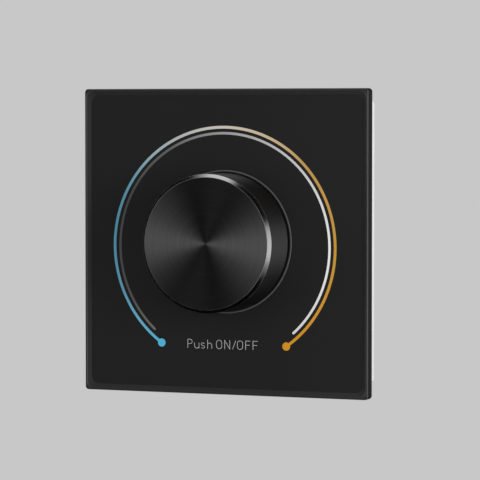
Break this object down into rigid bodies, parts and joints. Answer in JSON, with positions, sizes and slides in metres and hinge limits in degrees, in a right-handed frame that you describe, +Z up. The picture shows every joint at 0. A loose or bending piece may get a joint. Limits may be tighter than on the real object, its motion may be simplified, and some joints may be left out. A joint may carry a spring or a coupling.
{
  "type": "rotary dimmer panel",
  "caption": "Square black wall dimmer: framed glass with a turned metal push knob in a ringed hole, on a shallow pale housing that hooks onto a wall plate.",
  "frame": {"origin": "middle of the wall plate's back face, on the wall and on the knob's axis", "axes": "+Z up as it hangs, the front with the knob faces -Y, +X to the right seen from the front"},
  "size_m": [0.086, 0.0281, 0.086],
  "materials": {
    "black_glass": "satin etched, black printed",
    "dark_anodised": "spun and black anodised",
    "pale_plastic": "fine moulded texture",
    "black_plastic": "moulded",
    "black_foam": "adhesive sheet",
    "board": "solder mask",
    "chip_black": "moulded package",
    "ceramic": "fired",
    "shield_tin": "tinned",
    "spring_steel": "bright",
    "zinc": "cast and plated",
    "plated_brass": "nickel plated",
    "cell_steel": "nickel plated",
    "screw_steel": "zinc plated",
    "pale_moulding": "moulded"
  },
  "bodies": {
    "panel": {"glass_frame": "black_plastic", "glass_panel": "black_glass", "glass_adhesive": "black_foam", "hole_ring": "dark_anodised", "front_cover": "black_plastic", "rear_housing": "pale_plastic", "wall_plate": "pale_moulding", "case_screws": "screw_steel", "circuit_board": "board", "radio_module": "shield_tin", "controller_chip": "chip_black", "board_capacitors": "ceramic", "encoder_base": "black_plastic", "encoder_bushing": "zinc", "encoder_clamp": "spring_steel", "encoder_pins": "plated_brass", "detent_spring": "spring_steel", "switch_dome": "spring_steel", "encoder_washer": "plated_brass", "encoder_nut": "plated_brass", "battery_holder": "black_plastic", "coin_cell": "cell_steel", "battery_spring": "spring_steel", "battery_clip": "spring_steel"},
    "rotor": {"encoder_rotor": "black_plastic"},
    "knob": {"knob_cap": "dark_anodised", "knob_core": "black_plastic", "knob_clip": "spring_steel", "encoder_shaft": "dark_anodised"},
    "plunger": {"switch_plunger": "black_plastic"},
    "door": {"battery_door": "pale_moulding"}
  },
  "joints": [
    {"name": "knob_turn", "type": "hinge", "parent": "panel", "child": "rotor", "pos_m": [0, 0, 0], "axis": [0, 1, 0], "continuous": true},
    {"name": "knob_push", "type": "slide", "parent": "rotor", "child": "knob", "axis": [0, 1, 0], "range_m": [0, 0.0005], "stiffness_N_per_m": 8000, "springref_m": -0.0002},
    {"name": "switch_press", "type": "slide", "parent": "panel", "child": "plunger", "axis": [0, 1, 0], "range_m": [0, 0.0005], "deforming": ["switch_dome"]},
    {"name": "door_turn", "type": "hinge", "parent": "panel", "child": "door", "pos_m": [0, -0.0025, -0.0198], "axis": [0, 1, 0], "range_deg": [0, 45]}
  ],
  "couplings": [
    {"joint": "switch_press", "follows": "knob_push", "ratio": 1}
  ]
}
